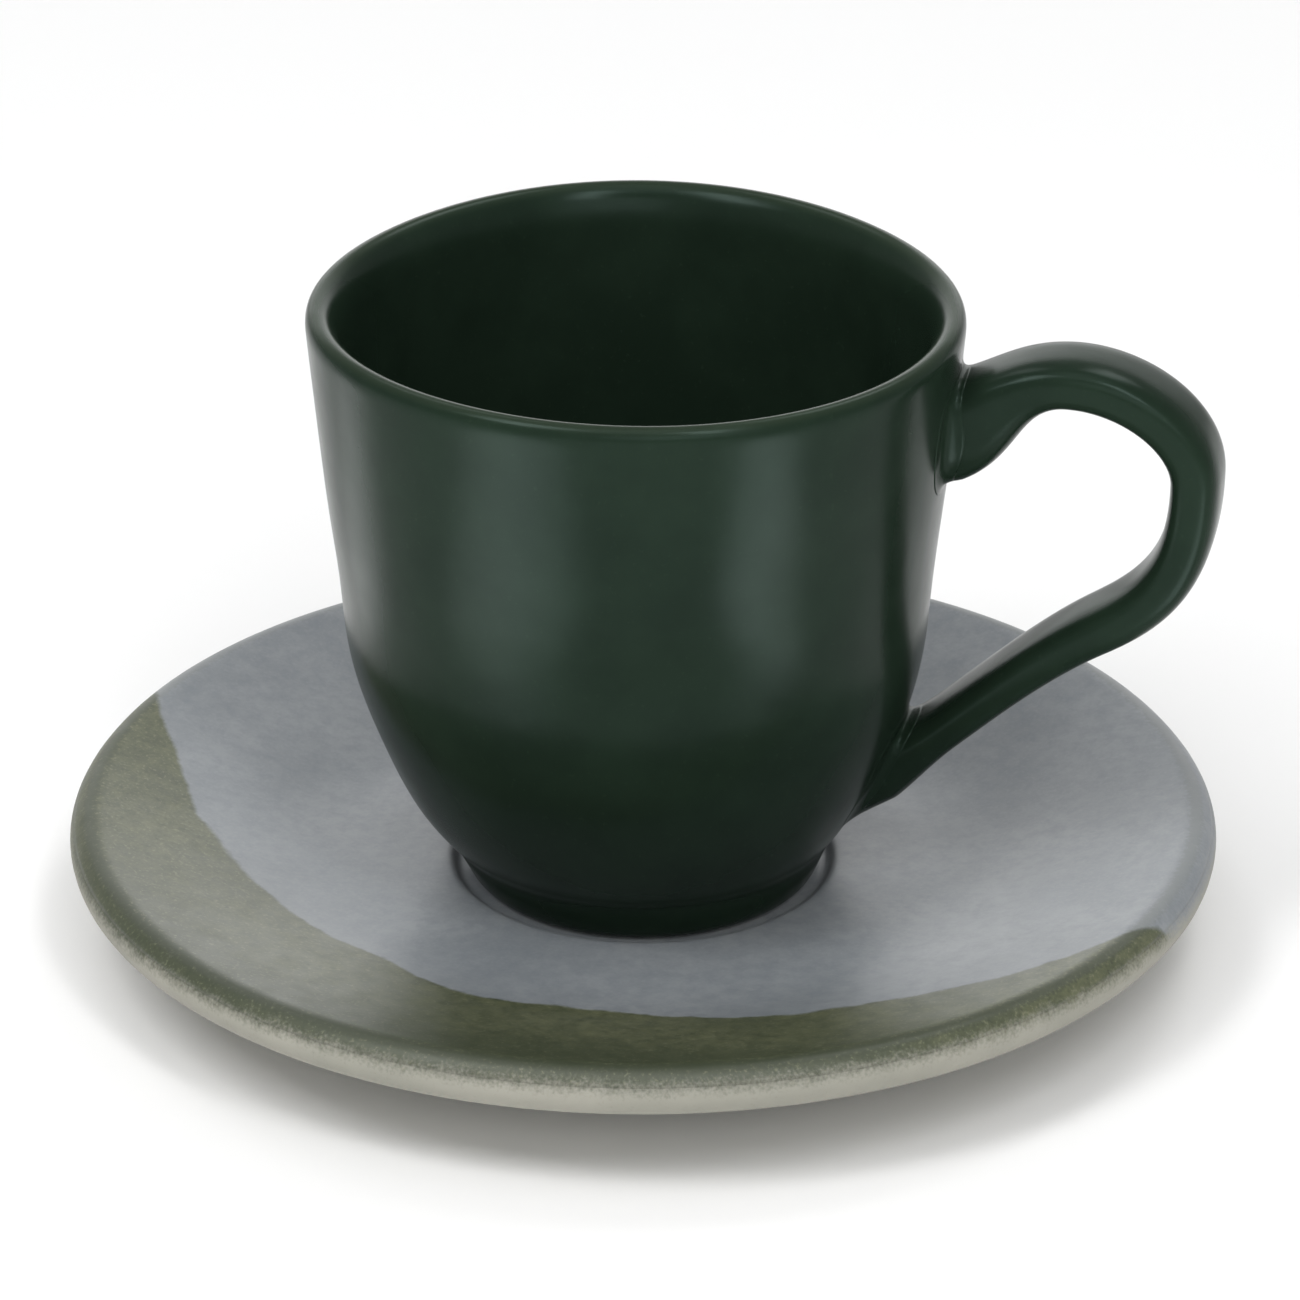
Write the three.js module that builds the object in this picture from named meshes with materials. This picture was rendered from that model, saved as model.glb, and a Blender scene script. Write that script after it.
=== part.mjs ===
// A hand-formed coffee cup on its saucer.
// Millimetres, +Z up, the origin under the middle of the saucer's foot, the handle along +X.
import * as THREE from 'three';

// Saucer
const saucerDiameter = 155;
const saucerHeight = 17.4;
const saucerEdge = 6;
const saucerFlatDiameter = 90;
const saucerBend = 6;
const saucerFloor = 4.6;
const saucerFootHeight = 2.4;
const saucerFootDiameter = 92;
const saucerFootWidth = 4.5;
const saucerFootSlant = 1.2;

// Well that keeps the cup in the middle of the saucer
const wellDepth = 1.6;
const wellClearance = 2.2;
const wellSlant = 0.8;

// Coloured coat on the saucer's upper side, which ends partway round the edge
const coatThickness = 0.4;
const coatGap = 0.1;
const coatEndAngle = 35;

// Cup
const cupHeight = 82.4;
const rimDiameter = 85.9;
const wallThickness = 3.9;
const shoulderDiameter = 78.4;
const shoulderHeight = 38.5;
const waistDiameter = 52.2;
const waistHeight = 6.2;
const footDiameter = 46.4;
const footEdge = 1;
const footRingWidth = 4.6;
const footRecess = 1.6;
const footSlant = 0.8;
const cupFloor = 5.4;
const innerFlatDiameter = 24;
const seatGap = 0.2;

// Shares that shape the curves of the cup's bowl, outside and inside
const bowlSpread = 0.42;
const bowlRise = 0.18;
const bowlRoundness = 0.4;
const innerDraft = 0.04;
const innerRoundness = 0.46;
const innerSpread = 0.6;

// Hand-formed unevenness of the cup: a lean, soft lobes that grow towards the rim, and dents
const lean = 0.8;
const leanAngle = 188;
const leanHeight = 14;
const lobes = [
  { count: 2, depth: 0.34, angle: -34 },
  { count: 3, depth: 0.49, angle: -25 },
  { count: 4, depth: 0.21, angle: 17 },
];
const dents = [
  { angle: 192, height: 22, depth: 0.5, spread: 8 },
  { angle: -78, height: 40, depth: 0.7, spread: 13 },
  { angle: 25, height: 42, depth: 0.6, spread: 13 },
];
const dentAngle = 26;

// Handle strap, as distances from the cup's rim, foot and wall
const strapWidth = 12.4;
const strapThickness = 6.6;
const tailWidth = 12;
const tailThickness = 5.7;
const taperStart = 0.52;
const taperEnd = 0.8;
const strapSquareness = 2.4;
const upperRootDrop = 13.6;
const upperRootTilt = 14;
const upperRootHeight = 14.6;
const upperRootFlare = 17;
const loopTopDrop = 5.8;
const loopTopReach = 15.4;
const loopReach = 30.6;
const loopReachDrop = 18.6;
const loopRoundness = 0.52;
const bendRoundness = 0.62;
const tailReach = 18.2;
const tailDrop = 40.8;
const tailAngle = 31;
const tailSwing = 0.34;
const tailTurn = 0.34;
const lowerRootRise = 18.6;
const lowerRootTilt = 32;
const lowerRootHeight = 9;
const lowerRootFlare = 11;
const lowerRootLead = 7.7;
const flarePower = 1.8;
const rootDepth = 6;

// Slip pressed into the corner between the handle and the cup
const slipReach = 3;
const slipEndReach = 1.4;
const slipTip = 0.3;
const slipHollow = 0.3;
const jointGap = 0.3;

// Fineness of the facets
const turns = 56;
const curveSteps = 5;
const dishSteps = 3;
const strapSides = 20;
const strapSteps = 34;
const wallShares = [0.25, 0.5, 0.75, 1];
const searchShare = 0.3;
const searchSteps = 40;

const degrees = THREE.MathUtils.degToRad;
const smoothstep = THREE.MathUtils.smoothstep;

const coatTop = coatGap + coatThickness;
const footRadius = footDiameter / 2;
const rimRadius = rimDiameter / 2;
const lipRadius = wallThickness / 2;
const lipHeight = cupHeight - lipRadius;
const wellFloor = saucerFootHeight + saucerFloor;
const cupSeat = wellFloor + coatTop + seatGap;

function material(color, roughness) {
  return new THREE.MeshStandardMaterial({ color, roughness, metalness: 0 });
}

function turned(points) {
  return new THREE.LatheGeometry(points, turns).rotateX(Math.PI / 2);
}

// A closed body from its vertices and triangles, turned so that its faces point out.
function solid(vertices, triangles) {
  const geometry = new THREE.BufferGeometry().setFromPoints(vertices);
  let volume = 0;
  for (const [a, b, c] of triangles) {
    volume += vertices[a].dot(new THREE.Vector3().crossVectors(vertices[b], vertices[c]));
  }
  geometry.setIndex(triangles.flatMap(([a, b, c]) => (volume > 0 ? [a, b, c] : [a, c, b])));
  geometry.computeVertexNormals();
  return geometry;
}

// Triangles between two rings of vertices that start at first and second.
function band(first, second, count) {
  const triangles = [];
  for (let side = 0; side < count; side += 1) {
    const next = (side + 1) % count;
    triangles.push([first + side, first + next, second + next]);
    triangles.push([first + side, second + next, second + side]);
  }
  return triangles;
}

// Upper side of the saucer, from the edge to the middle, raised evenly by lift.
// It starts at the given angle on the round edge.
function dish(lift, startAngle) {
  const edgeRadius = saucerEdge / 2;
  const edgeCentre = new THREE.Vector2(
    saucerDiameter / 2 - edgeRadius,
    saucerHeight - coatTop - edgeRadius,
  );
  const flatHeight = wellFloor + wellDepth;
  const corner = new THREE.Vector2(saucerFlatDiameter / 2, flatHeight);
  const toEdge = edgeCentre.clone().sub(corner);
  const slope = toEdge.angle() + Math.asin(edgeRadius / toEdge.length());
  corner.add(new THREE.Vector2(-Math.tan(slope / 2), 1).multiplyScalar(lift));
  const flank = new THREE.Vector2(Math.cos(slope), Math.sin(slope)).multiplyScalar(saucerBend);
  const wellAngle = Math.atan2(wellDepth, wellSlant);
  const wellRadius = footRadius + wellClearance - lift * Math.tan(wellAngle / 2);

  const path = new THREE.Path();
  path.absarc(
    edgeCentre.x,
    edgeCentre.y,
    edgeRadius + lift,
    startAngle,
    Math.PI / 2 + slope,
  );
  path.lineTo(corner.x + flank.x, corner.y + flank.y);
  path.quadraticCurveTo(corner.x, corner.y, corner.x - saucerBend, corner.y);
  path.lineTo(wellRadius + wellSlant, flatHeight + lift);
  path.lineTo(wellRadius, wellFloor + lift);
  path.lineTo(0, wellFloor + lift);
  return path.getPoints(dishSteps);
}

function saucerBody() {
  const edgeRadius = saucerEdge / 2;
  const footRadiusOut = saucerFootDiameter / 2;
  const footRadiusIn = footRadiusOut - saucerFootWidth;
  const underside = [
    new THREE.Vector2(0, saucerFootHeight),
    new THREE.Vector2(footRadiusIn - saucerFootSlant, saucerFootHeight),
    new THREE.Vector2(footRadiusIn, 0),
    new THREE.Vector2(footRadiusOut, 0),
    new THREE.Vector2(footRadiusOut + saucerFootSlant, saucerFootHeight),
  ];
  const edgeBottom = saucerHeight - coatTop - saucerEdge;
  const rise = Math.atan2(
    edgeBottom - saucerFootHeight,
    saucerDiameter / 2 - edgeRadius - footRadiusOut - saucerFootSlant,
  );
  return turned([...underside, ...dish(0, rise - Math.PI / 2)]);
}

function saucerCoat() {
  const endAngle = degrees(coatEndAngle);
  return turned([...dish(coatGap, endAngle).reverse(), ...dish(coatTop, endAngle)]);
}

// Outer profile of the cup from the foot's edge to the lip.
function cupOuterPath() {
  const waist = waistDiameter / 2;
  const shoulder = shoulderDiameter / 2;
  const bowl = shoulderHeight - waistHeight;
  const wallRise = lipHeight - shoulderHeight;
  const wallSlope = (rimRadius - shoulder) / wallRise;
  const path = new THREE.Path();
  path.moveTo(footRadius - footEdge, 0);
  path.quadraticCurveTo(footRadius, 0, footRadius + footEdge / 2, footEdge);
  path.lineTo(waist, waistHeight);
  path.bezierCurveTo(
    waist + bowlSpread * (shoulder - waist),
    waistHeight + bowlRise * bowl,
    shoulder - wallSlope * bowlRoundness * bowl,
    shoulderHeight - bowlRoundness * bowl,
    shoulder,
    shoulderHeight,
  );
  for (const share of wallShares) {
    path.lineTo(shoulder + wallSlope * share * wallRise, shoulderHeight + share * wallRise);
  }
  return path;
}

function cupProfile() {
  const shoulder = shoulderDiameter / 2 - wallThickness;
  const innerFloor = footRecess + cupFloor;
  const bowl = shoulderHeight - innerFloor;
  const footIn = footRadius - footRingWidth;
  const inner = new THREE.Path();
  inner.absarc(rimRadius - lipRadius, lipHeight, lipRadius, 0, Math.PI);
  for (const share of wallShares) {
    inner.lineTo(
      THREE.MathUtils.lerp(rimRadius - wallThickness, shoulder, share),
      THREE.MathUtils.lerp(lipHeight, shoulderHeight, share),
    );
  }
  inner.bezierCurveTo(
    shoulder - innerDraft * bowl,
    shoulderHeight - innerRoundness * bowl,
    THREE.MathUtils.lerp(innerFlatDiameter / 2, shoulder, innerSpread),
    innerFloor,
    innerFlatDiameter / 2,
    innerFloor,
  );
  inner.lineTo(0, innerFloor);
  return [
    new THREE.Vector2(0, footRecess),
    new THREE.Vector2(footIn - footSlant, footRecess),
    new THREE.Vector2(footIn, 0),
    ...cupOuterPath().getPoints(curveSteps),
    ...inner.getPoints(curveSteps).slice(1),
  ];
}

const cupOuterPoints = cupOuterPath().getPoints(curveSteps * 4);

// How far the formed wall stands out from the turned one at an angle and a height.
function unevenness(angle, height) {
  let out = lean * smoothstep(height, 0, leanHeight) * Math.cos(angle - degrees(leanAngle));
  for (const lobe of lobes) {
    const share = smoothstep(height, 0, cupHeight);
    out += share * lobe.depth * Math.cos(lobe.count * (angle - degrees(lobe.angle)));
  }
  for (const dent of dents) {
    const turn = (2 * Math.sin((angle - degrees(dent.angle)) / 2)) / degrees(dentAngle);
    const climb = (height - dent.height) / dent.spread;
    out -= dent.depth * Math.exp(-(turn * turn + climb * climb));
  }
  return out;
}

function cupBody() {
  const geometry = turned(cupProfile());
  const place = geometry.attributes.position;
  for (let i = 0; i < place.count; i += 1) {
    const radius = Math.hypot(place.getX(i), place.getY(i));
    const height = place.getZ(i);
    const angle = Math.atan2(place.getY(i), place.getX(i));
    const moved = radius + unevenness(angle, height) * smoothstep(radius, 0, footRadius);
    place.setXY(i, moved * Math.cos(angle), moved * Math.sin(angle));
  }
  return geometry;
}

function wallRadius(angle, height) {
  const above = Math.max(1, cupOuterPoints.findIndex((point) => point.y >= height));
  const low = cupOuterPoints[above - 1];
  const high = cupOuterPoints[above];
  const share = (height - low.y) / (high.y - low.y);
  return THREE.MathUtils.lerp(low.x, high.x, share) + unevenness(angle, height);
}

function outsideWall(point) {
  const angle = Math.atan2(point.y, point.x);
  return Math.hypot(point.x, point.y) - wallRadius(angle, point.z);
}

// The point moved straight in or out from the cup's axis until it stands off the wall by gap.
function onWall(point, gap) {
  const angle = Math.atan2(point.y, point.x);
  const radius = wallRadius(angle, point.z) + gap;
  return new THREE.Vector3(radius * Math.cos(angle), radius * Math.sin(angle), point.z);
}

// Middle line of the handle in the plane of the loop: out from the upper root, over the top,
// round the outer bend, down the tail and into the lower root.
function handleLine() {
  const heading = (angle, length) =>
    new THREE.Vector2(Math.cos(degrees(angle)), Math.sin(degrees(angle))).multiplyScalar(length);
  const upperHeight = cupHeight - upperRootDrop;
  const upper = new THREE.Vector2(wallRadius(0, upperHeight), upperHeight);
  const lower = new THREE.Vector2(wallRadius(0, lowerRootRise), lowerRootRise);
  const top = new THREE.Vector2(upper.x + loopTopReach, cupHeight - loopTopDrop);
  const bend = new THREE.Vector2(rimRadius + loopReach, cupHeight - loopReachDrop);
  const tail = new THREE.Vector2(rimRadius + tailReach, cupHeight - tailDrop);
  const upperIn = upper.clone().sub(heading(upperRootTilt, rootDepth));
  const upperOut = upper.clone().add(heading(upperRootTilt, loopTopReach / 3));
  const lowerIn = lower.clone().sub(heading(lowerRootTilt, rootDepth));
  const lowerOut = lower.clone().add(heading(lowerRootTilt, lowerRootLead));
  const tailLength = tail.distanceTo(lower);
  const tailOut = tail.clone().sub(heading(tailAngle, tailSwing * tailLength));
  const tailIn = tail.clone().add(heading(tailAngle, tailTurn * (bend.y - tail.y)));

  const line = new THREE.Path();
  line.moveTo(upperIn.x, upperIn.y);
  line.lineTo(upper.x, upper.y);
  line.bezierCurveTo(upperOut.x, upperOut.y, top.x - loopTopReach / 2, top.y, top.x, top.y);
  line.bezierCurveTo(
    top.x + loopRoundness * (bend.x - top.x),
    top.y,
    bend.x,
    bend.y + loopRoundness * (top.y - bend.y),
    bend.x,
    bend.y,
  );
  line.bezierCurveTo(
    bend.x,
    bend.y - bendRoundness * (bend.y - tail.y),
    tailIn.x,
    tailIn.y,
    tail.x,
    tail.y,
  );
  line.bezierCurveTo(tailOut.x, tailOut.y, lowerOut.x, lowerOut.y, lower.x, lower.y);
  line.lineTo(lowerIn.x, lowerIn.y);
  return line;
}

const line = handleLine();
const lineLength = line.getLength();

function flare(distance, length) {
  return Math.max(0, 1 - Math.max(0, distance - rootDepth) / length) ** flarePower;
}

// A point on the strap: along runs from 0 inside the upper wall to 1 inside the lower wall,
// side goes round the section, and grow stands the point off the strap.
function strapPoint(along, side, grow) {
  const centre = line.getPoint(along);
  const forward = line.getTangent(along);
  const upperFlare = flare(along * lineLength, upperRootFlare);
  const lowerFlare = flare((1 - along) * lineLength, lowerRootFlare);
  const taper = smoothstep(along, taperStart, taperEnd);
  const plain = THREE.MathUtils.lerp(strapThickness, tailThickness, taper);
  const thickness =
    plain +
    (upperRootHeight - strapThickness) * upperFlare +
    (lowerRootHeight - tailThickness) * lowerFlare;
  const width = THREE.MathUtils.lerp(strapWidth, tailWidth, taper);
  const turn = (side / strapSides) * 2 * Math.PI;
  const power = 2 / strapSquareness;
  const rounded = (value) => Math.sign(value) * Math.abs(value) ** power;
  const across = (width / 2 + grow) * rounded(Math.cos(turn));
  const outward = (thickness / 2 + grow) * rounded(Math.sin(turn));
  return new THREE.Vector3(
    centre.x - forward.y * outward,
    across,
    centre.y + forward.x * outward,
  );
}

// Where a line along the strap comes out of the wall, searched from an end inside it.
function strapExit(end, side, grow) {
  let inside = end;
  let outside = end === 0 ? searchShare : 1 - searchShare;
  for (let step = 0; step < searchSteps; step += 1) {
    const middle = (inside + outside) / 2;
    if (outsideWall(strapPoint(middle, side, grow)) < jointGap) {
      inside = middle;
    } else {
      outside = middle;
    }
  }
  return outside;
}

function cupHandle() {
  const vertices = [];
  const triangles = [];
  const starts = [];
  const ends = [];
  for (let side = 0; side < strapSides; side += 1) {
    starts.push(strapExit(0, side, 0));
    ends.push(strapExit(1, side, 0));
  }
  for (let step = 0; step <= strapSteps; step += 1) {
    for (let side = 0; side < strapSides; side += 1) {
      const along = THREE.MathUtils.lerp(starts[side], ends[side], step / strapSteps);
      vertices.push(strapPoint(along, side, 0));
    }
    if (step > 0) {
      triangles.push(...band((step - 1) * strapSides, step * strapSides, strapSides));
    }
  }
  for (const first of [0, strapSteps * strapSides]) {
    const rim = vertices.slice(first, first + strapSides);
    const middle = rim.reduce((sum, point) => sum.add(point), new THREE.Vector3());
    const centre = onWall(middle.divideScalar(strapSides), jointGap);
    const inner = vertices.length;
    for (const point of rim) {
      vertices.push(onWall(point.clone().lerp(centre, 0.5), jointGap));
    }
    vertices.push(centre);
    const cap = band(inner, first, strapSides);
    for (let side = 0; side < strapSides; side += 1) {
      cap.push([inner + ((side + 1) % strapSides), inner + side, inner + strapSides]);
    }
    triangles.push(...cap.map(([a, b, c]) => (first === 0 ? [a, b, c] : [a, c, b])));
  }
  return solid(vertices, triangles);
}

// Ring of slip round one root of the handle, hollow on its outer side.
function slipRing(end) {
  const outward = end === 0 ? 1 : -1;
  const vertices = [];
  const triangles = [];
  const sectionPoints = 6;
  for (let side = 0; side < strapSides; side += 1) {
    const exit = strapExit(end, side, jointGap);
    const endShare = Math.abs(Math.sin((side / strapSides) * 2 * Math.PI));
    const reach = THREE.MathUtils.lerp(slipReach, slipEndReach, endShare);
    const far = exit + (outward * reach) / lineLength;
    const corner = strapPoint(exit, side, jointGap);
    const away = strapPoint(exit, side, jointGap + reach);
    const strapLow = strapPoint(far, side, jointGap);
    const strapHigh = strapPoint(far, side, jointGap + slipTip);
    const wallLow = onWall(away, jointGap);
    const wallHigh = onWall(away, jointGap + slipTip);
    const hollow = corner.clone();
    hollow.addScaledVector(strapHigh.clone().sub(corner), slipHollow);
    hollow.addScaledVector(wallHigh.clone().sub(corner), slipHollow);
    vertices.push(corner, strapLow, strapHigh, hollow, wallHigh, wallLow);
    const next = (side + 1) % strapSides;
    triangles.push(...band(side * sectionPoints, next * sectionPoints, sectionPoints));
  }
  return solid(vertices, triangles);
}

function piece(name, geometry, look) {
  const mesh = new THREE.Mesh(geometry, look);
  mesh.name = name;
  return mesh;
}

const cup = new THREE.Group();
cup.position.z = cupSeat;
cup.add(
  piece('cup_body', cupBody(), material(0x24402f, 0.42)),
  piece('cup_handle', cupHandle(), material(0x233d2e, 0.42)),
  piece('upper_handle_joint', slipRing(0), material(0x1f3829, 0.45)),
  piece('lower_handle_joint', slipRing(1), material(0x1f3829, 0.45)),
);

const saucer = new THREE.Group();
saucer.add(
  piece('saucer_body', saucerBody(), material(0xc8c3b2, 0.7)),
  piece('saucer_top_glaze', saucerCoat(), material(0x8a9298, 0.4)),
);

const cupAndSaucer = new THREE.Group();
cupAndSaucer.add(saucer, cup);

export default cupAndSaucer;
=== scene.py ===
"""A hand-formed stoneware coffee cup on its saucer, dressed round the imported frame.

Shapes are worked out in millimetres, +Z up, with the handle along +X, and become metres in the meshes.
"""
import math

import bpy
import numpy as np
from mathutils import Matrix, Vector


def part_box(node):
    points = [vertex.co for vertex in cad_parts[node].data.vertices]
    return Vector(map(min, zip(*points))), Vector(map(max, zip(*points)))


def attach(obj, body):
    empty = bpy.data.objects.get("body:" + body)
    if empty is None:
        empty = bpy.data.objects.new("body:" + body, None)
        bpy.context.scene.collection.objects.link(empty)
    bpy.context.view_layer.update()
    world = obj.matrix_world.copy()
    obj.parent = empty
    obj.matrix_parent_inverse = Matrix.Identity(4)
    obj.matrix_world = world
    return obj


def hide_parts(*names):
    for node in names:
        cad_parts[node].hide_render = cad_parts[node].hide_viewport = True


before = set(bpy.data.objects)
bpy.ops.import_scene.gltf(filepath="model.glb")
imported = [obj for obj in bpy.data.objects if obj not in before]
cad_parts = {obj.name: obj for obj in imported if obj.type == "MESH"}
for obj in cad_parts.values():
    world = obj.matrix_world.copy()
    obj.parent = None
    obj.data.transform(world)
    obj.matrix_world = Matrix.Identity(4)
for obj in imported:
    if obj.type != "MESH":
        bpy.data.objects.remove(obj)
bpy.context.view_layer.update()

MM = 0.001

# Saucer
coat_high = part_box("saucer_top_glaze")[1] / MM
saucer_diameter = 155
saucer_height = coat_high.z
saucer_edge = 6
saucer_flat_diameter = 90
saucer_bend = 6
saucer_floor = 4.6
saucer_foot_height = 2.4
saucer_foot_diameter = 92
saucer_foot_width = 4.5
saucer_foot_slant = 1.2
well_depth = 1.6
well_clearance = 2.2
well_slant = 0.8
coat_gap = 0.1
coat_top = 0.5
coat_end_angle = 35
coat_sink = 0.05
well_floor = saucer_foot_height + saucer_floor

# Cup
cup_low, cup_high = (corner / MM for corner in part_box("cup_body"))
cup_seat = cup_low.z
cup_height = cup_high.z - cup_low.z
rim_radius = 42.95
wall_thickness = 3.9
shoulder_radius = 39.2
shoulder_height = 38.5
waist_radius = 26.1
waist_height = 6.2
foot_radius = 23.2
foot_edge = 1
foot_ring_width = 4.6
foot_recess = 1.6
foot_slant = 0.8
cup_floor = 5.4
inner_flat_radius = 12
lip_radius = wall_thickness / 2
lip_height = cup_height - lip_radius
lip_crest = 1.5
lip_inset = 3.2
lip_fall = 7

# Roundness of the bowl outside and inside, as shares of its width and height
bowl_spread, bowl_rise, bowl_draft = 0.42, 0.18, 0.4
inner_spread, inner_drop, inner_draft = 0.6, 0.46, 0.04

# Hand-formed unevenness of the cup: a lean, soft lobes that grow towards the rim, and dents
lean = 0.8
lean_angle = 188
lean_height = 14
lobes = [(2, 0.34, -34), (3, 0.49, -25), (4, 0.21, 17)]
dents = [
    {"angle": 192, "height": 22, "depth": 0.5, "spread": 8},
    {"angle": -78, "height": 40, "depth": 0.7, "spread": 13},
    {"angle": 25, "height": 42, "depth": 0.6, "spread": 13},
]
dent_angle = 26

# Shallow finger marks that only the glaze's gloss shows, as wide as they are high
marks = [
    {"angle": 204, "height": 43, "depth": 0.45, "spread": 9},
    {"angle": -45, "height": 57, "depth": 0.42, "spread": 9},
    {"angle": -74, "height": 45, "depth": 0.25, "spread": 7},
    {"angle": -44, "height": 33, "depth": 0.30, "spread": 7},
    {"angle": -122, "height": 36, "depth": 0.24, "spread": 9},
    {"angle": -10, "height": 50, "depth": 0.25, "spread": 11},
    {"angle": 60, "height": 46, "depth": 0.28, "spread": 11},
    {"angle": 105, "height": 60, "depth": 0.25, "spread": 12},
    {"angle": 140, "height": 38, "depth": 0.28, "spread": 10},
]

# Handle strap, as distances from the cup's rim, foot and wall
strap_width, tail_width = 12.4, 12
strap_thickness, tail_thickness = 6.6, 5.7
taper_start, taper_end = 0.52, 0.8
strap_squareness = 3.2
upper_root_drop = 13.6
upper_root_tilt = 14
upper_root_height = 14.6
upper_root_flare = 17
loop_top_drop = 5.8
loop_top_reach = 15.4
loop_reach = 30.6
loop_reach_drop = 18.6
loop_roundness = 0.52
bend_roundness = 0.62
tail_reach = 18.2
tail_drop = 40.8
tail_angle = 31
tail_swing = 0.34
tail_turn = 0.34
lower_root_rise = 18.6
lower_root_tilt = 32
lower_root_height = 9
lower_root_flare = 11
lower_root_lead = 7.7
flare_power = 1.8
root_depth = 6
strap_sink = 0.6

# Slip round the roots: its reach at the strap's sides and ends, and how far it stands proud or sinks in
slip_reach, slip_end_reach = 3, 1.4
slip_proud = 0.02
slip_sink = 0.4

# Fineness of the meshes
turns = 256
profile_spacing = 0.5
softening_passes = 3
strap_sides = 64
strap_steps = 220
strap_spacing = 0.1
slip_steps = 10

# Points along each stretch of the curves
edge_points = 40
flank_points = 12
flat_points = 8
well_side_points = 6
well_points = 12
foot_points = 8
waist_points = 12
wall_points = 60
outer_lip_points = 16
inner_lip_points = 24
inside_points = 50
root_points = 40
loop_points = 200

# The search for the strap's way out of the wall, within this share of its length
root_share = 0.3
search_steps = 40


# Curves and profiles

def bezier(points, count):
    """Points along a line or curve of any order, its start included and its end left out."""
    points = [np.array(point, dtype=float) for point in points]
    order = len(points) - 1
    share = np.linspace(0, 1, count, endpoint=False)[:, None]
    curve = np.zeros((count, 2))
    for index, point in enumerate(points):
        weight = math.comb(order, index) * share**index * (1 - share) ** (order - index)
        curve += weight * point
    return curve


def straight(start, end, count):
    return bezier([start, end], count)


def arc(centre, radius, start, end, count):
    angle = np.linspace(start, end, count, endpoint=False)
    return np.stack([centre[0] + radius * np.cos(angle), centre[1] + radius * np.sin(angle)], axis=1)


def quarter(centre, across, up, start, count):
    """A quarter of an ellipse that turns left from the angle at start."""
    return centre + arc((0, 0), 1, start, start + math.pi / 2, count) * (across, up)


def respaced(points, spacing):
    """The same line with its points an even distance apart."""
    gaps = np.linalg.norm(np.diff(points, axis=0), axis=1)
    along = np.concatenate([[0], np.cumsum(gaps)])
    count = max(2, int(round(along[-1] / spacing)) + 1)
    wanted = np.linspace(0, along[-1], count)
    return np.stack([np.interp(wanted, along, points[:, axis]) for axis in range(2)], axis=1)


def softened(points):
    """The line with its corners rounded off a little, as glaze and sponging leave them."""
    smooth = respaced(points, profile_spacing)
    for _ in range(softening_passes):
        smooth[1:-1] = (smooth[:-2] + 2 * smooth[1:-1] + smooth[2:]) / 4
    return smooth


def smoothstep(value, low, high):
    share = np.clip((value - low) / (high - low), 0, 1)
    return share * share * (3 - 2 * share)


# Meshes

def mesh_object(name, vertices, faces):
    mesh = bpy.data.meshes.new(name)
    mesh.from_pydata((np.asarray(vertices) * MM).tolist(), [], faces)
    mesh.validate()
    mesh.shade_smooth()
    obj = bpy.data.objects.new(name, mesh)
    bpy.context.scene.collection.objects.link(obj)
    return obj


def ring_faces(first, second, count):
    """Quads between two rings of vertices that start at first and second."""
    return [
        (first + side, first + (side + 1) % count, second + (side + 1) % count, second + side)
        for side in range(count)
    ]


def turned_object(name, profile, move=None):
    """A body turned round the axis from a profile that starts and ends on it, and then moved."""
    angles = np.arange(turns) * 2 * math.pi / turns
    inner = profile[1:-1]
    radius = np.repeat(inner[:, :1], turns, axis=1)
    height = np.repeat(inner[:, 1:], turns, axis=1)
    if move is not None:
        radius = radius + move(angles[None, :], radius, height)
    vertices = np.stack([radius * np.cos(angles), radius * np.sin(angles), height], axis=2)
    vertices = vertices.reshape(-1, 3)
    faces = []
    for row in range(len(inner) - 1):
        faces += ring_faces(row * turns, (row + 1) * turns, turns)
    start, end = len(vertices), len(vertices) + 1
    last = (len(inner) - 1) * turns
    for side in range(turns):
        following = (side + 1) % turns
        faces.append((start, following, side))
        faces.append((end, last + side, last + following))
    poles = [[0, 0, profile[0][1]], [0, 0, profile[-1][1]]]
    return mesh_object(name, np.vstack([vertices, poles]), faces)


# Saucer

def dish(lift, start_angle, end_lift=None):
    """Upper side of the saucer from the edge to the middle, raised by lift, as in the frame's solids.

    The raise thins out to end_lift along the round edge, where the coat of glaze runs out.
    """
    edge = saucer_edge / 2
    centre = np.array([saucer_diameter / 2 - edge, saucer_height - coat_top - edge])
    flat_height = well_floor + well_depth
    corner = np.array([saucer_flat_diameter / 2, flat_height])
    across, up = centre - corner
    slope = math.atan2(up, across) + math.asin(edge / math.hypot(across, up))
    corner = corner + np.array([-math.tan(slope / 2), 1]) * lift
    flank = np.array([math.cos(slope), math.sin(slope)]) * saucer_bend
    well_angle = math.atan2(well_depth, well_slant)
    well_radius = foot_radius + well_clearance - lift * math.tan(well_angle / 2)
    rim = arc(centre, edge + lift, start_angle, math.pi / 2 + slope, edge_points)
    if end_lift is not None:
        turn = np.linspace(start_angle, math.pi / 2 + slope, edge_points, endpoint=False)
        raised = end_lift + (lift - end_lift) * smoothstep(turn, start_angle, math.pi / 2)
        rim = centre + np.stack([np.cos(turn), np.sin(turn)], axis=1) * (edge + raised)[:, None]
    before = (corner[0] - saucer_bend, corner[1])
    well_edge = (well_radius + well_slant, flat_height + lift)
    well_foot = (well_radius, well_floor + lift)
    return np.vstack([
        rim,
        straight(rim[-1], corner + flank, flank_points)[1:],
        bezier([corner + flank, corner, before], flank_points),
        straight(before, well_edge, flat_points),
        straight(well_edge, well_foot, well_side_points),
        straight(well_foot, (0, well_floor + lift), well_points),
        [(0, well_floor + lift)],
    ])


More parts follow.
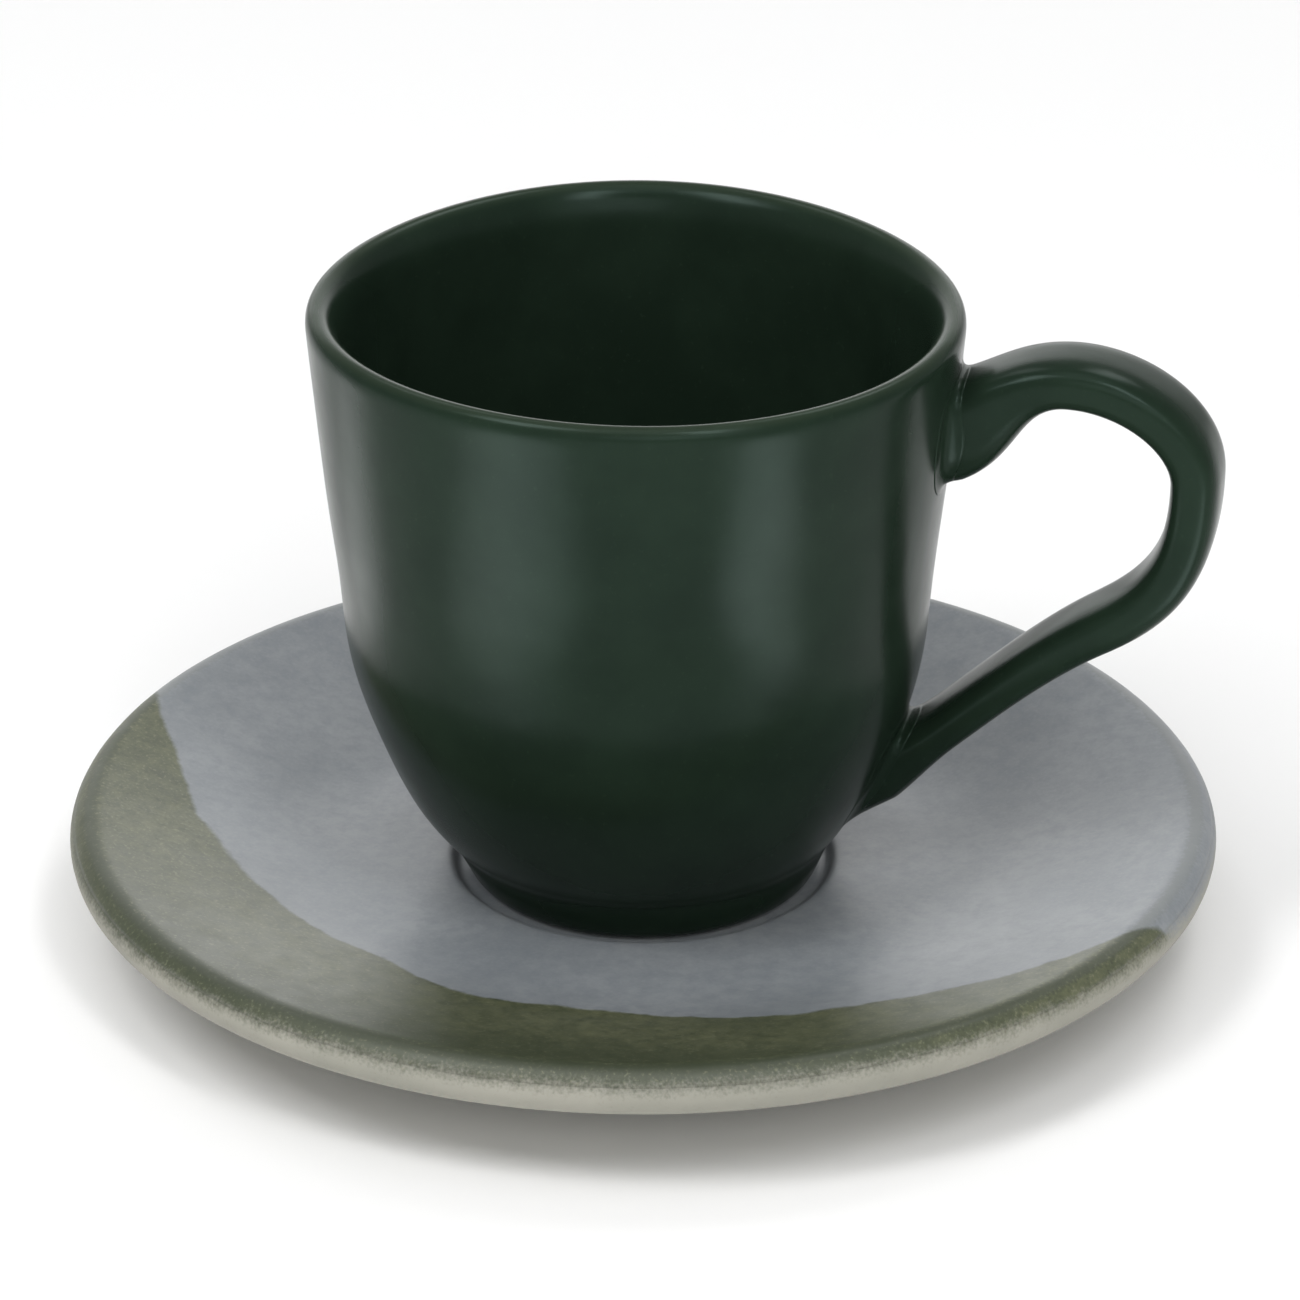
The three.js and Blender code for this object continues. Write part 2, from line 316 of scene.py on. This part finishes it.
def saucer_body():
    edge = saucer_edge / 2
    foot_out = saucer_foot_diameter / 2
    foot_in = foot_out - saucer_foot_width
    rise = math.atan2(
        saucer_height - coat_top - saucer_edge - saucer_foot_height,
        saucer_diameter / 2 - edge - foot_out - saucer_foot_slant,
    )
    under = np.array([
        (0, saucer_foot_height),
        (foot_in - saucer_foot_slant, saucer_foot_height),
        (foot_in, 0),
        (foot_out, 0),
        (foot_out + saucer_foot_slant, saucer_foot_height),
    ])
    profile = np.vstack([under, dish(0, rise - math.pi / 2)])
    return turned_object("saucer_clay", softened(profile))


def saucer_coat():
    """The coat of glaze, whose end sinks into the clay, its underside twice as deep as its top."""
    end = math.radians(coat_end_angle)
    under = dish(coat_gap, end, -2 * coat_sink)
    over = dish(coat_top, end, -coat_sink)
    profile = np.vstack([under[::-1], softened(over)])
    return turned_object("saucer_coat", profile)


# Cup

def cup_outside():
    """Outer profile from the foot's edge to the start of the lip."""
    bowl_width = shoulder_radius - waist_radius
    bowl = shoulder_height - waist_height
    slope = (rim_radius - shoulder_radius) / (lip_height - shoulder_height)
    foot_top = (foot_radius + foot_edge / 2, foot_edge)
    waist = (waist_radius, waist_height)
    shoulder = (shoulder_radius, shoulder_height)
    return np.vstack([
        bezier([(foot_radius - foot_edge, 0), (foot_radius, 0), foot_top], foot_points),
        straight(foot_top, waist, waist_points),
        bezier([
            waist,
            (waist_radius + bowl_spread * bowl_width, waist_height + bowl_rise * bowl),
            (shoulder_radius - slope * bowl_draft * bowl, shoulder_height - bowl_draft * bowl),
            shoulder,
        ], wall_points),
        straight(shoulder, (rim_radius, lip_height), wall_points),
        [(rim_radius, lip_height)],
    ])


def cup_profile():
    shoulder = shoulder_radius - wall_thickness
    inner_floor = foot_recess + cup_floor
    bowl_width = shoulder - inner_flat_radius
    bowl = shoulder_height - inner_floor
    foot_in = foot_radius - foot_ring_width
    crest = rim_radius - lip_crest
    outer_lip = quarter((crest, lip_height), lip_crest, lip_radius, 0, outer_lip_points)
    inner_lip = quarter((crest, cup_height - lip_fall), lip_inset, lip_fall, math.pi / 2, inner_lip_points)
    return np.vstack([
        [(0, foot_recess), (foot_in - foot_slant, foot_recess), (foot_in, 0)],
        cup_outside()[:-1],
        outer_lip,
        inner_lip,
        straight(inner_lip[-1], (shoulder, shoulder_height), inside_points),
        bezier([
            (shoulder, shoulder_height),
            (shoulder - inner_draft * bowl, shoulder_height - inner_drop * bowl),
            (inner_flat_radius + inner_spread * bowl_width, inner_floor),
            (inner_flat_radius, inner_floor),
        ], inside_points),
        [(inner_flat_radius, inner_floor), (0, inner_floor)],
    ])


outside = softened(cup_outside())


def hollow(mark, turn, height):
    """A soft round hollow, with turn and height counted in its own spread."""
    climb = (height - mark["height"]) / mark["spread"]
    return mark["depth"] * np.exp(-(turn**2 + climb**2))


def unevenness(angle, height):
    """How far the formed wall stands out from the turned one."""
    out = lean * smoothstep(height, 0, lean_height) * np.cos(angle - math.radians(lean_angle))
    share = smoothstep(height, 0, cup_height)
    for count, depth, turn in lobes:
        out = out + share * depth * np.cos(count * (angle - math.radians(turn)))
    for dent in dents:
        chord = 2 * np.sin((angle - math.radians(dent["angle"])) / 2)
        out = out - hollow(dent, chord / math.radians(dent_angle), height)
    for mark in marks:
        chord = 2 * np.sin((angle - math.radians(mark["angle"])) / 2)
        out = out - hollow(mark, chord * shoulder_radius / mark["spread"], height)
    return out


def cup_body():
    def formed(angle, radius, height):
        return unevenness(angle, height) * smoothstep(radius, 0, foot_radius)

    return turned_object("cup_wall", softened(cup_profile()), formed)


def wall_radius(angle, height):
    return np.interp(height, outside[:, 1], outside[:, 0]) + unevenness(angle, height)


def outside_wall(points):
    """How far points lie outside the wall, negative within it."""
    angle = np.arctan2(points[..., 1], points[..., 0])
    return np.hypot(points[..., 0], points[..., 1]) - wall_radius(angle, points[..., 2])


def on_wall(points, gap):
    """The points moved in or out to a gap from the wall."""
    angle = np.arctan2(points[..., 1], points[..., 0])
    radius = wall_radius(angle, points[..., 2]) + gap
    return np.stack([radius * np.cos(angle), radius * np.sin(angle), points[..., 2]], axis=-1)


# Handle

def heading(angle, length):
    return np.array([math.cos(math.radians(angle)), math.sin(math.radians(angle))]) * length


def handle_line():
    """Middle line of the handle in the plane of the loop, from inside one wall to inside the other."""
    upper_height = cup_height - upper_root_drop
    upper = np.array([float(wall_radius(0, upper_height)), upper_height])
    lower = np.array([float(wall_radius(0, lower_root_rise)), lower_root_rise])
    top = np.array([upper[0] + loop_top_reach, cup_height - loop_top_drop])
    bend = np.array([rim_radius + loop_reach, cup_height - loop_reach_drop])
    tail = np.array([rim_radius + tail_reach, cup_height - tail_drop])
    tail_length = np.linalg.norm(tail - lower)
    rise, fall = top[1] - bend[1], bend[1] - tail[1]
    points = np.vstack([
        straight(upper - heading(upper_root_tilt, root_depth), upper, root_points),
        bezier([
            upper,
            upper + heading(upper_root_tilt, loop_top_reach / 3),
            top - (loop_top_reach / 2, 0),
            top,
        ], loop_points),
        bezier([
            top,
            top + (loop_roundness * (bend[0] - top[0]), 0),
            bend + (0, loop_roundness * rise),
            bend,
        ], loop_points),
        bezier([
            bend,
            bend - (0, bend_roundness * fall),
            tail + heading(tail_angle, tail_turn * fall),
            tail,
        ], loop_points),
        bezier([
            tail,
            tail - heading(tail_angle, tail_swing * tail_length),
            lower + heading(lower_root_tilt, lower_root_lead),
            lower,
        ], loop_points),
        straight(lower, lower - heading(lower_root_tilt, root_depth), root_points),
        [lower - heading(lower_root_tilt, root_depth)],
    ])
    return respaced(points, strap_spacing)


line = handle_line()
line_gaps = np.linalg.norm(np.diff(line, axis=0), axis=1)
line_length = line_gaps.sum()
line_share = np.concatenate([[0], np.cumsum(line_gaps)]) / line_length
line_heading = np.gradient(line, axis=0)
line_heading /= np.linalg.norm(line_heading, axis=1)[:, None]
sides = np.arange(strap_sides, dtype=float)
seat = np.array([0, 0, cup_seat])


def flare(distance, length):
    return np.maximum(0, 1 - np.maximum(0, distance - root_depth) / length) ** flare_power


def strap_point(along, side, grow):
    """A point on the strap: along runs from one wall to the other and side goes round the section."""
    centre = np.stack([np.interp(along, line_share, line[:, axis]) for axis in range(2)], axis=-1)
    forward = np.stack([np.interp(along, line_share, line_heading[:, axis]) for axis in range(2)], axis=-1)
    taper = smoothstep(along, taper_start, taper_end)
    thickness = (
        strap_thickness + (tail_thickness - strap_thickness) * taper
        + (upper_root_height - strap_thickness) * flare(along * line_length, upper_root_flare)
        + (lower_root_height - tail_thickness) * flare((1 - along) * line_length, lower_root_flare)
    )
    width = strap_width + (tail_width - strap_width) * taper
    turn = side / strap_sides * 2 * math.pi
    power = 2 / strap_squareness
    across = (width / 2 + grow) * np.sign(np.cos(turn)) * np.abs(np.cos(turn)) ** power
    outward = (thickness / 2 + grow) * np.sign(np.sin(turn)) * np.abs(np.sin(turn)) ** power
    return np.stack([
        centre[..., 0] - forward[..., 1] * outward,
        across,
        centre[..., 1] + forward[..., 0] * outward,
    ], axis=-1)


def strap_exit(end, side, grow):
    """Where lines along the strap come out of the wall, searched from an end inside it."""
    inside = np.full(side.shape, float(end))
    beyond = np.full(side.shape, root_share if end == 0 else 1 - root_share)
    for _ in range(search_steps):
        middle = (inside + beyond) / 2
        within = outside_wall(strap_point(middle, side, grow)) < 0
        inside = np.where(within, middle, inside)
        beyond = np.where(within, beyond, middle)
    return beyond


def cup_handle():
    sunk = strap_sink / line_length
    starts = np.maximum(strap_exit(0, sides, 0) - sunk, 0)
    ends = np.minimum(strap_exit(1, sides, 0) + sunk, 1)
    rings = []
    faces = []
    for step in range(strap_steps + 1):
        along = starts + (ends - starts) * step / strap_steps
        rings.append(strap_point(along, sides, 0) + seat)
        if step > 0:
            faces += ring_faces((step - 1) * strap_sides, step * strap_sides, strap_sides)
    last = strap_steps * strap_sides
    faces.append(tuple(range(strap_sides - 1, -1, -1)))
    faces.append(tuple(range(last, last + strap_sides)))
    return mesh_object("handle_strap", np.vstack(rings), faces)


def slip_ring(name, end, inner_reach):
    """Slip pressed into the corner round a root, hollowed by a finger so that it runs into both.

    On the side of the strap that faces into the loop it reaches as far as inner_reach.
    """
    outward = 1 if end == 0 else -1
    exits = strap_exit(end, sides, 0)
    level = np.sin(sides / strap_sides * 2 * math.pi)
    reach = slip_reach + (np.where(level > 0, slip_end_reach, inner_reach) - slip_reach) * np.abs(level)
    along = exits + outward * reach / line_length
    corner = strap_point(exits, sides, 0)
    on_strap = strap_point(along, sides, slip_proud)
    foot = on_wall(strap_point(exits, sides, reach), slip_proud)
    section = []
    for share in np.linspace(0, 1, slip_steps + 1):
        section.append((1 - share) ** 2 * foot + 2 * share * (1 - share) * corner + share**2 * on_strap)
    section.append(strap_point(along, sides, -slip_sink))
    section.append(on_wall(strap_point(exits, sides, -slip_sink), -slip_sink))
    section.append(on_wall(strap_point(exits, sides, reach), -slip_sink))
    faces = []
    count = len(section)
    for row in range(count):
        first, second = row * strap_sides, (row + 1) % count * strap_sides
        if end == 0:
            faces += ring_faces(first, second, strap_sides)
        else:
            faces += ring_faces(second, first, strap_sides)
    return mesh_object(name, np.vstack(section) + seat, faces)


# Materials

class Graph:
    """A material's node tree, with short calls for the nodes used here."""

    def __init__(self, name):
        self.material = bpy.data.materials.new(name)
        self.material.use_nodes = True
        self.tree = self.material.node_tree
        self.shader = self.tree.nodes["Principled BSDF"]
        self.place = self.tree.nodes.new("ShaderNodeTexCoord").outputs["Object"]

    def node(self, kind, inputs, **settings):
        made = self.tree.nodes.new(kind)
        for key, value in settings.items():
            setattr(made, key, value)
        for key, value in inputs.items():
            self.put(made.inputs[key], value)
        return made

    def put(self, socket, value):
        if isinstance(value, bpy.types.NodeSocket):
            self.tree.links.new(value, socket)
        else:
            socket.default_value = value

    def noise(self, size, detail=3, rough=0.5):
        """Cloudy values from 0 to 1, with clouds of about that many millimetres."""
        inputs = {"Vector": self.place, "Scale": 1 / (size * MM), "Detail": detail, "Roughness": rough}
        return self.node("ShaderNodeTexNoise", inputs).outputs["Fac"]

    def span(self, value, low, high, to_low=0.0, to_high=1.0, kind="SMOOTHSTEP"):
        """The value's way from low to high, as a way from to_low to to_high."""
        inputs = {"Value": value, "From Min": low, "From Max": high, "To Min": to_low, "To Max": to_high}
        return self.node("ShaderNodeMapRange", inputs, interpolation_type=kind).outputs["Result"]

    def math(self, operation, first, second=0.0):
        return self.node("ShaderNodeMath", {0: first, 1: second}, operation=operation).outputs[0]

    def distance(self, across, along):
        squares = [self.math("POWER", side, 2.0) for side in (across, along)]
        return self.math("SQRT", self.math("ADD", *squares))

    def swing(self, cloudy, width):
        """Cloudy values spread over a width to both sides of 0."""
        return self.math("MULTIPLY", self.math("SUBTRACT", cloudy, 0.5), width)

    def mix(self, share, first, second):
        inputs = {"Factor": share, "A": first, "B": second}
        made = self.tree.nodes.new("ShaderNodeMix")
        made.data_type = "RGBA"
        for socket in made.inputs:
            if socket.enabled and socket.name in inputs:
                self.put(socket, inputs[socket.name])
        return next(socket for socket in made.outputs if socket.enabled)

    def clouded(self, clouds, first, second):
        """Two colours that change into each other with the clouds."""
        return self.mix(self.span(clouds, 0.3, 0.7), first, second)

    def split(self):
        return self.node("ShaderNodeSeparateXYZ", {"Vector": self.place}).outputs

    def bump(self, height, distance, normal=None):
        inputs = {"Height": height, "Distance": distance * MM, "Strength": 1.0}
        if normal is not None:
            inputs["Normal"] = normal
        return self.node("ShaderNodeBump", inputs).outputs["Normal"]

    def finish(self, color, roughness, normal, **constants):
        self.put(self.shader.inputs["Base Color"], color)
        self.put(self.shader.inputs["Roughness"], roughness)
        self.put(self.shader.inputs["Normal"], normal)
        for key, value in constants.items():
            self.shader.inputs[key.replace("_", " ")].default_value = value
        return self.material


def colour(red, green, blue):
    """A colour written as it shows on screen, from 0 to 255, as the shader's linear values."""
    def linear(value):
        share = value / 255
        return share / 12.92 if share <= 0.04045 else ((share + 0.055) / 1.055) ** 2.4

    return (linear(red), linear(green), linear(blue), 1)


# Dark green glaze of the cup, with a painted highlight that makes the lip lighter, and a bare foot
green_dark, green_light = colour(25, 37, 28), colour(30, 43, 33)
green_fleck = colour(44, 58, 46)
green_lip_highlight = colour(56, 66, 52)
bare_foot = colour(196, 190, 172)
green_gloss = 0.11
green_gloss_tint = (0.74, 1.0, 0.93, 1)
green_roughness = (0.20, 0.25)
lip_highlight_height = 1.2
bare_start, bare_end = 0.35, 0.2

# Blue-grey and olive glazes of the saucer, and its cream clay
grey_dark, grey_light = colour(123, 128, 132), colour(138, 142, 145)
grey_shade, grey_fleck = colour(112, 118, 124), colour(150, 153, 155)
olive_dark, olive_light = colour(84, 88, 65), colour(98, 101, 76)
olive_deep, olive_shade = colour(62, 68, 51), colour(58, 65, 48)
olive_fleck, olive_speck = colour(132, 133, 108), colour(48, 54, 40)
grey_line, olive_line = colour(116, 120, 120), colour(58, 64, 49)
clay_dark, clay_light = colour(153, 152, 141), colour(163, 161, 150)
clay_fleck = colour(144, 141, 129)
saucer_gloss = 0.5
saucer_roughness = (0.29, 0.36)
bare_roughness = 0.3
rim_roughness = 0.12

# The olive dip covers all that lies outside a circle set off from the saucer's middle
dip_angle = -106
dip_radius = 88
dip_offset = 42
dip_centre = -heading(dip_angle, dip_offset)
dip_sway = 10
dip_fringe = 1.2
dip_soft_start, dip_soft_end = -0.4, 0.6
dip_deep_start, dip_deep_end = 8, 26

# A thin line of darker glaze lies near the top of the edge, and the coat wears away below it
line_angle = math.radians(86)
line_wobble = 0.5
line_reach = 2
worn_start, worn_end = math.radians(66), math.radians(2)

# The coat runs further round the edge at the two ends of this line across the saucer
run_side = heading(12, 1)
run_reach = math.radians(26)
run_narrowness = 4.0


def cup_glaze():
    graph = Graph("dark_green_glaze")
    clouds = graph.noise(14, 4, 0.55)
    grain = graph.noise(0.7, 2)
    height = graph.split()["Z"]
    top = cup_seat + cup_height
    body = graph.clouded(clouds, green_dark, green_light)
    body = graph.mix(graph.span(grain, 0.62, 0.8, 0, 0.3), body, green_fleck)
    # Painted highlight: the top of the lip is made lighter in colour
    body = graph.mix(graph.span(height, (top - lip_highlight_height) * MM, top * MM, 0, 0.4), body, green_lip_highlight)
    bare = graph.span(height, (cup_seat + bare_start) * MM, (cup_seat + bare_end) * MM)
    body = graph.mix(bare, body, bare_foot)
    roughness = graph.span(graph.noise(5, 3), 0.2, 0.8, *green_roughness)
    normal = graph.bump(graph.noise(1.6, 2), 0.006)
    normal = graph.bump(graph.noise(12, 2), 0.08, normal)
    gloss = {"Specular_IOR_Level": green_gloss, "Specular_Tint": green_gloss_tint}
    return graph.finish(body, roughness, normal, **gloss)


def saucer_look(name, inner_bare):
    """Glaze over clay: the coat gives way to bare clay round the edge, in specks.

    Inside the round edge the surface is all coat where inner_bare is 0, and all clay where it is 1.
    """
    graph = Graph(name)
    x, y, z = graph.split()
    clouds = graph.noise(16, 5, 0.6)
    fine = graph.noise(2.2, 4, 0.65)
    grain = graph.noise(0.5, 2)
    field = graph.clouded(clouds, grey_dark, grey_light)
    field = graph.mix(graph.span(fine, 0.3, 0.75, 0, 0.6), field, grey_shade)
    field = graph.mix(graph.span(grain, 0.4, 0.9, 0, 0.25), field, grey_fleck)

    # Olive dip along one side
    across = graph.math("SUBTRACT", x, dip_centre[0] * MM)
    along = graph.math("SUBTRACT", y, dip_centre[1] * MM)
    reach = graph.math("ADD", graph.distance(across, along), graph.swing(graph.noise(26, 3), dip_sway * MM))
    depth = graph.math("SUBTRACT", reach, dip_radius * MM)
    ragged = graph.math("ADD", depth, graph.swing(fine, dip_fringe * MM))
    dipped = graph.span(ragged, dip_soft_start * MM, dip_soft_end * MM)
    deep = graph.span(depth, dip_deep_start * MM, dip_deep_end * MM, 0, 0.8)
    olive = graph.clouded(clouds, olive_dark, olive_light)
    olive = graph.mix(deep, olive, olive_deep)
    olive = graph.mix(graph.span(fine, 0.3, 0.75, 0, 0.7), olive, olive_shade)
    olive = graph.mix(graph.span(grain, 0.55, 0.75, 0, 0.4), olive, olive_fleck)
    olive = graph.mix(graph.span(grain, 0.45, 0.25, 0, 0.4), olive, olive_speck)
    field = graph.mix(dipped, field, olive)

    # Round the edge, from its top at a quarter turn to its outermost line at none
    radius = graph.distance(x, y)
    edge = saucer_edge / 2
    out = graph.math("SUBTRACT", radius, (saucer_diameter / 2 - edge) * MM)
    up = graph.math("SUBTRACT", z, (saucer_height - coat_top - edge) * MM)
    turn = graph.math("ARCTAN2", up, out)
    outer = graph.math("GREATER_THAN", out, 0.0)
    near = graph.math("GREATER_THAN", out, -line_reach * MM)
    away = graph.math("ABSOLUTE", graph.math("SUBTRACT", turn, line_angle))
    away = graph.math("ADD", away, graph.swing(grain, line_wobble))
    darker = graph.math("MULTIPLY", graph.span(away, 0.45, 0.1, 0, 0.75), near)
    field = graph.mix(darker, field, graph.mix(dipped, grey_line, olive_line))

    # Bare clay in specks where the coat has worn thin
    grit = graph.math("ADD", graph.noise(0.45, 2), graph.math("MULTIPLY", graph.noise(2.5, 2), 0.6))
    grit = graph.math("MULTIPLY", graph.math("SUBTRACT", grit, 0.8), 0.75)
    lobe_x = graph.math("MULTIPLY", x, run_side[0])
    lobe_y = graph.math("MULTIPLY", y, run_side[1])
    lobe = graph.math("DIVIDE", graph.math("ADD", lobe_x, lobe_y), radius)
    lobe = graph.math("POWER", lobe, run_narrowness)
    turn = graph.math("ADD", turn, graph.math("MULTIPLY", lobe, run_reach))
    thin = graph.span(turn, worn_start, worn_end, kind="LINEAR")
    bare = graph.span(graph.math("ADD", thin, grit), 0.05, 0.95)
    bare = graph.math("MULTIPLY", bare, outer)
    inside = graph.math("MULTIPLY", graph.math("SUBTRACT", 1.0, outer), inner_bare)
    bare = graph.math("ADD", bare, inside)
    clay = graph.clouded(clouds, clay_dark, clay_light)
    clay = graph.mix(graph.span(grain, 0.58, 0.76, 0, 0.25), clay, clay_fleck)
    body = graph.mix(bare, field, clay)

    roughness = graph.span(graph.noise(4, 3), 0.2, 0.8, *saucer_roughness)
    roughness = graph.math("ADD", roughness, graph.math("MULTIPLY", bare, bare_roughness))
    rim = graph.span(out, -line_reach * MM, -line_reach / 4 * MM, 0, rim_roughness)
    roughness = graph.math("ADD", roughness, rim)
    normal = graph.bump(graph.noise(1.1, 3), 0.012)
    normal = graph.bump(graph.noise(9, 2), 0.04, normal)
    return graph.finish(body, roughness, normal, Specular_IOR_Level=saucer_gloss)


# Pieces on their bodies, each in place of a solid of the frame
glaze = cup_glaze()
pieces = [
    (cup_body(), "cup", "cup_body", "cup_glaze", glaze),
    (cup_handle(), "cup", "cup_handle", "handle_glaze", glaze),
    (slip_ring("upper_collar", 0, slip_end_reach), "cup", "upper_handle_joint", "joint_glaze", glaze),
    (slip_ring("lower_collar", 1, slip_reach), "cup", "lower_handle_joint", "joint_glaze", glaze),
    (saucer_body(), "saucer", "saucer_body", "saucer_clay", saucer_look("cream_clay", 1.0)),
    (saucer_coat(), "saucer", "saucer_top_glaze", "saucer_glaze", saucer_look("blue_grey_glaze", 0.0)),
]
cup_wall = pieces[0][0]
cup_wall.data.transform(Matrix.Translation((0, 0, cup_seat * MM)))
for piece, body, node, slot, look in pieces:
    piece.data.materials.append(look)
    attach(piece, body)
    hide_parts(node)

# Floor
floor_middle = 400
floor_radius = 2400
cove_curve = 700
cove_height = 1800
cove_sides = 96
floor_dark, floor_light = (0.91, 0.91, 0.91, 1), (0.94, 0.94, 0.94, 1)
floor_roughness = 0.9


def cove():
    """A round floor with a wall that curves up all round."""
    cove_radius = floor_radius + cove_curve
    profile = np.vstack([
        straight((floor_middle, 0), (floor_radius, 0), 4),
        arc((floor_radius, cove_curve), cove_curve, -math.pi / 2, 0, 16),
        straight((cove_radius, cove_curve), (cove_radius, cove_height), 4),
    ])
    angles = np.arange(cove_sides) * 2 * math.pi / cove_sides
    rings = [
        np.stack([radius * np.cos(angles), radius * np.sin(angles), np.full(cove_sides, height)], axis=1)
        for radius, height in profile
    ]
    faces = [tuple(range(cove_sides))]
    for row in range(len(profile) - 1):
        faces += ring_faces((row + 1) * cove_sides, row * cove_sides, cove_sides)
    return mesh_object("floor", np.vstack(rings), faces)


def pale_floor():
    graph = Graph("pale_floor")
    tint = graph.mix(graph.noise(300, 3), floor_dark, floor_light)
    return graph.finish(tint, floor_roughness, graph.bump(graph.noise(4, 2), 0.01))


floor = cove()
floor.data.materials.append(pale_floor())

# Camera and light, with the lamps' directions counted from the camera's
camera_azimuth = 12
camera_elevation = 25.74
camera_distance = 867.2
camera_aim = np.array([0.90, 0.19, 39.26])
camera_reach = 20
focal_length = 179.4
sensor_width = 36
sky_strength = 0.35
strip_spread = 150
strip_height = 4
strip_near = 105

# Six times a share and its rest is 1 on average
fade_level = 6

world = bpy.data.worlds.new("studio")
bpy.context.scene.world = world
world.use_nodes = True
sky = world.node_tree.nodes["Background"]
sky.inputs["Color"].default_value = (1, 1, 1, 1)
sky.inputs["Strength"].default_value = sky_strength


def toward(azimuth, elevation):
    """Unit vector from the object, azimuth from the front towards the right, in degrees."""
    turn, climb = math.radians(azimuth), math.radians(elevation)
    return np.array([
        math.cos(climb) * math.sin(turn),
        -math.cos(climb) * math.cos(turn),
        math.sin(climb),
    ])


def face_cup(obj, azimuth, elevation, distance):
    """Puts a camera or lamp in a direction from the cup, so that it looks back at it."""
    back = Vector(toward(azimuth, elevation))
    obj.location = Vector(camera_aim * MM) + back * distance * MM
    obj.rotation_mode = "QUATERNION"
    obj.rotation_quaternion = (-back).to_track_quat("-Z", "Y")
    bpy.context.scene.collection.objects.link(obj)


def lamp_data(name, width, height, watts):
    """A rectangular lamp whose light fades out across its width, as on a diffuser."""
    data = bpy.data.lights.new(name, "AREA")
    data.shape = "RECTANGLE"
    data.size = width * MM
    data.size_y = height * MM
    data.energy = watts
    data.use_nodes = True
    nodes, links = data.node_tree.nodes, data.node_tree.links
    place = nodes.new("ShaderNodeNewGeometry").outputs["Parametric"]
    split = nodes.new("ShaderNodeSeparateXYZ")
    links.new(place, split.inputs["Vector"])
    rest = nodes.new("ShaderNodeMath")
    rest.operation = "SUBTRACT"
    rest.inputs[0].default_value = 1
    links.new(split.outputs["X"], rest.inputs[1])
    fade = nodes.new("ShaderNodeMath")
    fade.operation = "MULTIPLY"
    links.new(split.outputs["X"], fade.inputs[0])
    links.new(rest.outputs[0], fade.inputs[1])
    level = nodes.new("ShaderNodeMath")
    level.operation = "MULTIPLY"
    links.new(fade.outputs[0], level.inputs[0])
    level.inputs[1].default_value = fade_level
    links.new(level.outputs[0], nodes["Emission"].inputs["Strength"])
    return data


def softbox(name, turn, elevation, distance, width, height, watts):
    """A rectangular light that faces the cup."""
    lamp = bpy.data.objects.new(name, lamp_data(name, width, height, watts))
    lamp.visible_camera = False
    face_cup(lamp, camera_azimuth + turn, elevation, distance)


def low_strip(name, turn, far, width, watts):
    """A strip of light that lies on the floor and points up, to be mirrored as a band in the glaze."""
    azimuth = camera_azimuth + turn
    data = lamp_data(name, width, far - strip_near, watts)
    data.spread = math.radians(strip_spread)
    lamp = bpy.data.objects.new(name, data)
    middle = toward(azimuth, 0) * (strip_near + far) / 2
    lamp.location = Vector(middle * MM) + Vector((0, 0, strip_height * MM))
    lamp.rotation_euler = (math.pi, 0, math.radians(azimuth))
    lamp.visible_camera = False
    bpy.context.scene.collection.objects.link(lamp)


softbox("overhead", 0, 75, 1500, 1200, 1200, 3.6)
softbox("backdrop", 180, 16, 1600, 2600, 860, 6.5)
softbox("back_left", -145, 55, 1200, 460, 410, 1.0)
softbox("back_right", 145, 55, 1200, 450, 450, 2.0)
softbox("front", 10, 25, 1500, 1600, 700, 4.4)
softbox("front_left", -54, 54, 900, 380, 420, 3.0)
softbox("front_right", 25, 52, 900, 200, 400, 1.8)
low_strip("low_front_left", -42, 340, 110, 0.24)
low_strip("low_front_right", 39, 340, 76, 0.18)
low_strip("low_left", -108, 330, 70, 0.06)

camera_data = bpy.data.cameras.new("camera")
camera_data.sensor_width = sensor_width
camera_data.lens = focal_length
camera_data.clip_end = camera_reach
camera = bpy.data.objects.new("camera", camera_data)
face_cup(camera, camera_azimuth, camera_elevation, camera_distance)
bpy.context.scene.camera = camera
bpy.context.scene.view_settings.view_transform = "Standard"
